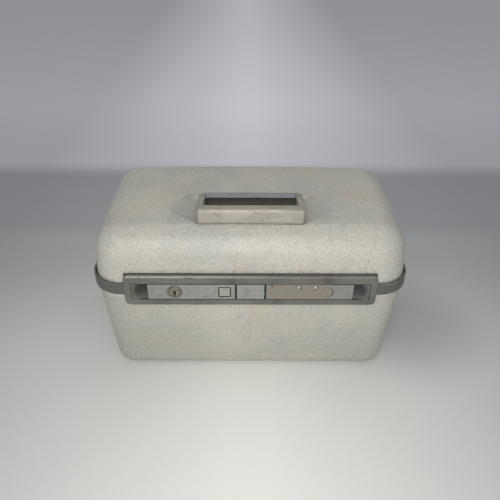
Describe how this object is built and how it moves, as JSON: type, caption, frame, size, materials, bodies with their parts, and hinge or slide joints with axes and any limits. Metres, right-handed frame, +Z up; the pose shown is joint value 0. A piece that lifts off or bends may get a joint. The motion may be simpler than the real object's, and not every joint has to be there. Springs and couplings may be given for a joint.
{
  "type": "cosmetic train case",
  "caption": "Hard-shell cosmetic case with a hinged crowned lid, folding top handle, two swing-out latches, key lock, mirror, lift-out tray and rear pocket.",
  "frame": {"origin": "middle of the footprint, level with the undersides of the feet", "axes": "+X along the case to the right seen from the front, front faces -Y, +Z up"},
  "size_m": [0.343, 0.201, 0.2035],
  "materials": {
    "shell": "pebbled satin",
    "frame_paint": "satin grey enamel",
    "plate": "brushed",
    "lock_metal": "polished",
    "initial_metal": "satin",
    "handle_plastic": "worn satin",
    "bracket_paint": "satin",
    "strip_metal": "brushed",
    "hinge_metal": "satin",
    "hardware": "satin",
    "foot_plastic": "satin",
    "lining_cloth": "woven",
    "mirror_glass": "silvered",
    "mirror_rim": "gloss",
    "tray_plastic": "satin"
  },
  "bodies": {
    "base": {"base_shell": "shell", "base_frame": "frame_paint", "latch_housing": "frame_paint", "housing_rivets": "hardware", "centre_plate": "plate", "latch_pins": "hardware", "latch_springs": "hardware", "hinge_base_leaves": "hinge_metal", "hinge_pins": "hardware", "hinge_base_rivets": "hinge_metal", "stay_stud": "hardware", "feet": "foot_plastic", "base_lining": "lining_cloth", "tray_rests": "tray_plastic", "rear_pocket": "lining_cloth", "pocket_elastic": "lining_cloth"},
    "lid": {"lid_shell": "shell", "lid_frame": "frame_paint", "latch_keepers": "hardware", "keeper_rivets": "hardware", "handle_bracket": "bracket_paint", "handle_strip": "strip_metal", "handle_pins": "hardware", "handle_screws": "hardware", "hinge_lid_leaves": "hinge_metal", "hinge_lid_rivets": "hinge_metal", "stay_pivot": "hardware", "lid_lining": "lining_cloth", "lid_panel": "lining_cloth", "mirror": "mirror_glass", "mirror_frame": "mirror_rim"},
    "handle": {"handle_grip": "handle_plastic"},
    "left_latch": {"left_latch_lever": "plate", "lock_bezel": "lock_metal", "initial_frame": "initial_metal", "initial_tile": "initial_metal"},
    "right_latch": {"right_latch_lever": "plate", "latch_studs": "lock_metal"},
    "lock": {"lock_cylinder": "lock_metal", "lock_cam": "hardware"},
    "stay": {"lid_stay": "hardware"},
    "tray": {"tray": "tray_plastic"}
  },
  "joints": [
    {"name": "lid_hinge", "type": "hinge", "parent": "base", "child": "lid", "pos_m": [0, 0.0981, 0.1174], "axis": [-1, 0, 0], "range_deg": [0, 95]},
    {"name": "handle_hinge", "type": "hinge", "parent": "lid", "child": "handle", "pos_m": [0, -0.013, 0.1878], "axis": [-1, 0, 0], "range_deg": [0, 95]},
    {"name": "left_latch_hinge", "type": "hinge", "parent": "base", "child": "left_latch", "pos_m": [-0.021, -0.0953, 0.12725], "axis": [0, 0, 1], "range_deg": [0, 35], "stiffness_Nm_per_rad": 0.02},
    {"name": "right_latch_hinge", "type": "hinge", "parent": "base", "child": "right_latch", "pos_m": [0.021, -0.0953, 0.12725], "axis": [0, 0, -1], "range_deg": [0, 35], "stiffness_Nm_per_rad": 0.02},
    {"name": "lock_turn", "type": "hinge", "parent": "left_latch", "child": "lock", "pos_m": [-0.08, -0.0979, 0.1229], "axis": [0, 1, 0], "range_deg": [0, 90]},
    {"name": "stay_hinge", "type": "hinge", "parent": "lid", "child": "stay", "pos_m": [-0.1556, 0.0443, 0.12884], "axis": [-1, 0, 0], "range_deg": [-47.5, 0]},
    {"name": "tray_lift", "type": "slide", "parent": "base", "child": "tray", "axis": [0, 0, 1], "range_m": [0, 0.043]}
  ],
  "couplings": [
    {"joint": "stay_hinge", "follows": "lid_hinge", "ratio": -0.5}
  ]
}
